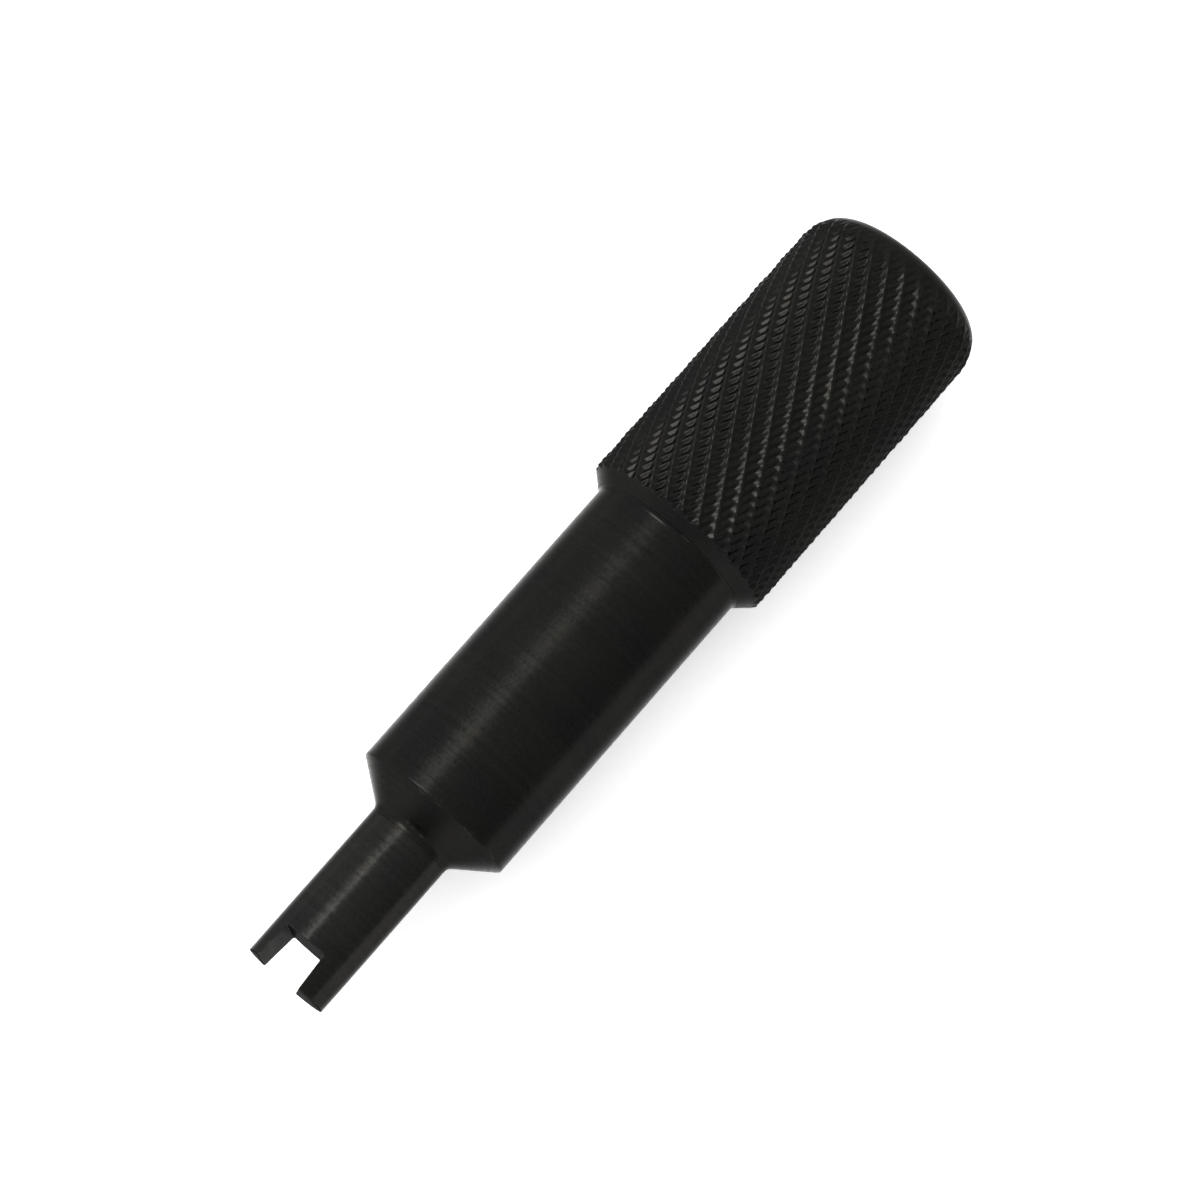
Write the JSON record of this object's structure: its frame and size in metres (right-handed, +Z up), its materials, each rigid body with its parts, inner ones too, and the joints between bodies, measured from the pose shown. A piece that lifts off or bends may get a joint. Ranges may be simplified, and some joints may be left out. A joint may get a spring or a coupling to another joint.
{
  "type": "spring bar tool",
  "caption": "Slim black steel hand driver with a diamond-knurled head, a smooth round barrel and a slotted two-prong fork tip that clamps in the conical nose.",
  "frame": {"origin": "middle of the bounding box's underside: the tool lies on its knurled head, axis horizontal at half the head's diameter", "axes": "+X along the tool's axis from the knurled head to the fork tip, +Z up; the fork's slot is open along Z, its prongs lie towards -Y and +Y"},
  "size_m": [0.0538, 0.0122, 0.0122],
  "materials": {
    "knurled_steel": "black oxide over a diamond knurl, satin, crests slightly polished by handling",
    "turned_steel": "black oxide over a fine turned surface, satin, faint turning rings",
    "tip_steel": "black oxide over a fine turned surface, milled slot walls",
    "screw_steel": "black oxide, as machined"
  },
  "bodies": {
    "handle": {"knurled_head": "knurled_steel", "barrel": "turned_steel"},
    "tip": {"fork_tip": "tip_steel"},
    "clamp_screw": {"tip_clamp_screw": "screw_steel"}
  },
  "joints": [
    {"name": "tip_slide", "type": "slide", "parent": "handle", "child": "tip", "axis": [1, 0, 0], "range_m": [0, 0.0095]},
    {"name": "clamp_screw_turn", "type": "hinge", "parent": "handle", "child": "clamp_screw", "pos_m": [0.01094, 0, 0.00608], "axis": [0, 0.866, -0.5], "continuous": true}
  ]
}
